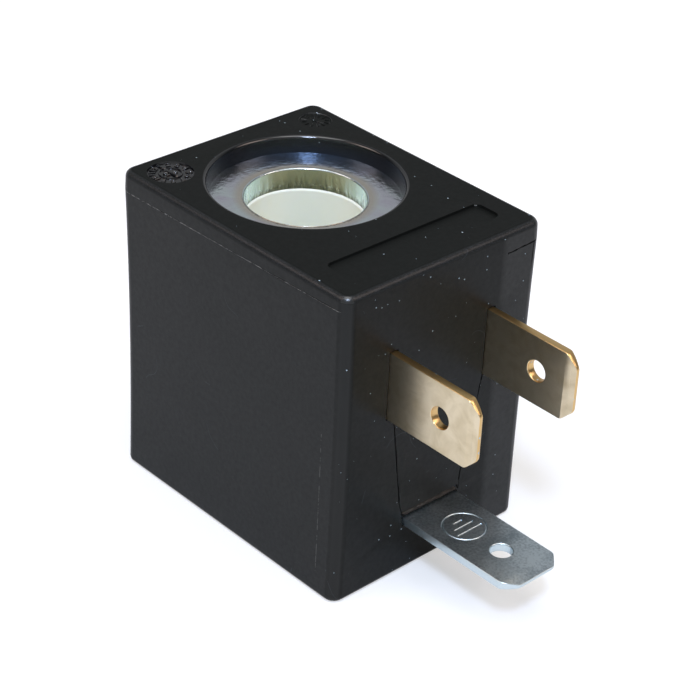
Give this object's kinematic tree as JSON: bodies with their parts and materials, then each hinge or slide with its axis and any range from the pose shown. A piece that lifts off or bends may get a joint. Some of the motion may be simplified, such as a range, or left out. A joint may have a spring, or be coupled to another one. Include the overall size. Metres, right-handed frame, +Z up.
{
  "type": "solenoid valve coil",
  "caption": "Moulded rectangular coil with a round bore in a steel yoke for a valve's armature tube, and flat blades on one side for a plug.",
  "frame": {"origin": "on the bore axis, in the plane of the underside that rests on the valve", "axes": "+Z up along the bore, -Y out of the terminal face along the blades, +X across the two line blades"},
  "size_m": [0.022, 0.0407, 0.0294],
  "materials": {
    "body_plastic": "moulded black glass-filled polyamide, satin",
    "yoke_steel": "cold-rolled steel strip, bright zinc plated with a blue passivate",
    "bobbin_plastic": "moulded natural polyamide, satin",
    "copper_wire": "enamelled copper wire, clear brown enamel",
    "tape_film": "yellow polyester film tape",
    "terminal_brass": "rolled brass strip, blanked",
    "earth_steel": "rolled steel strip, bright zinc plated",
    "rivet_steel": "zinc plated steel rivet",
    "solder": "bright tin solder"
  },
  "bodies": {
    "root": {"encapsulation": "body_plastic", "yoke": "yoke_steel", "bobbin": "bobbin_plastic", "winding": "copper_wire", "winding_tape": "tape_film", "left_terminal": "terminal_brass", "right_terminal": "terminal_brass", "earth_terminal": "earth_steel", "earth_rivet": "rivet_steel", "start_lead": "copper_wire", "finish_lead": "copper_wire", "left_solder_joint": "solder", "right_solder_joint": "solder"}
  },
  "joints": []
}
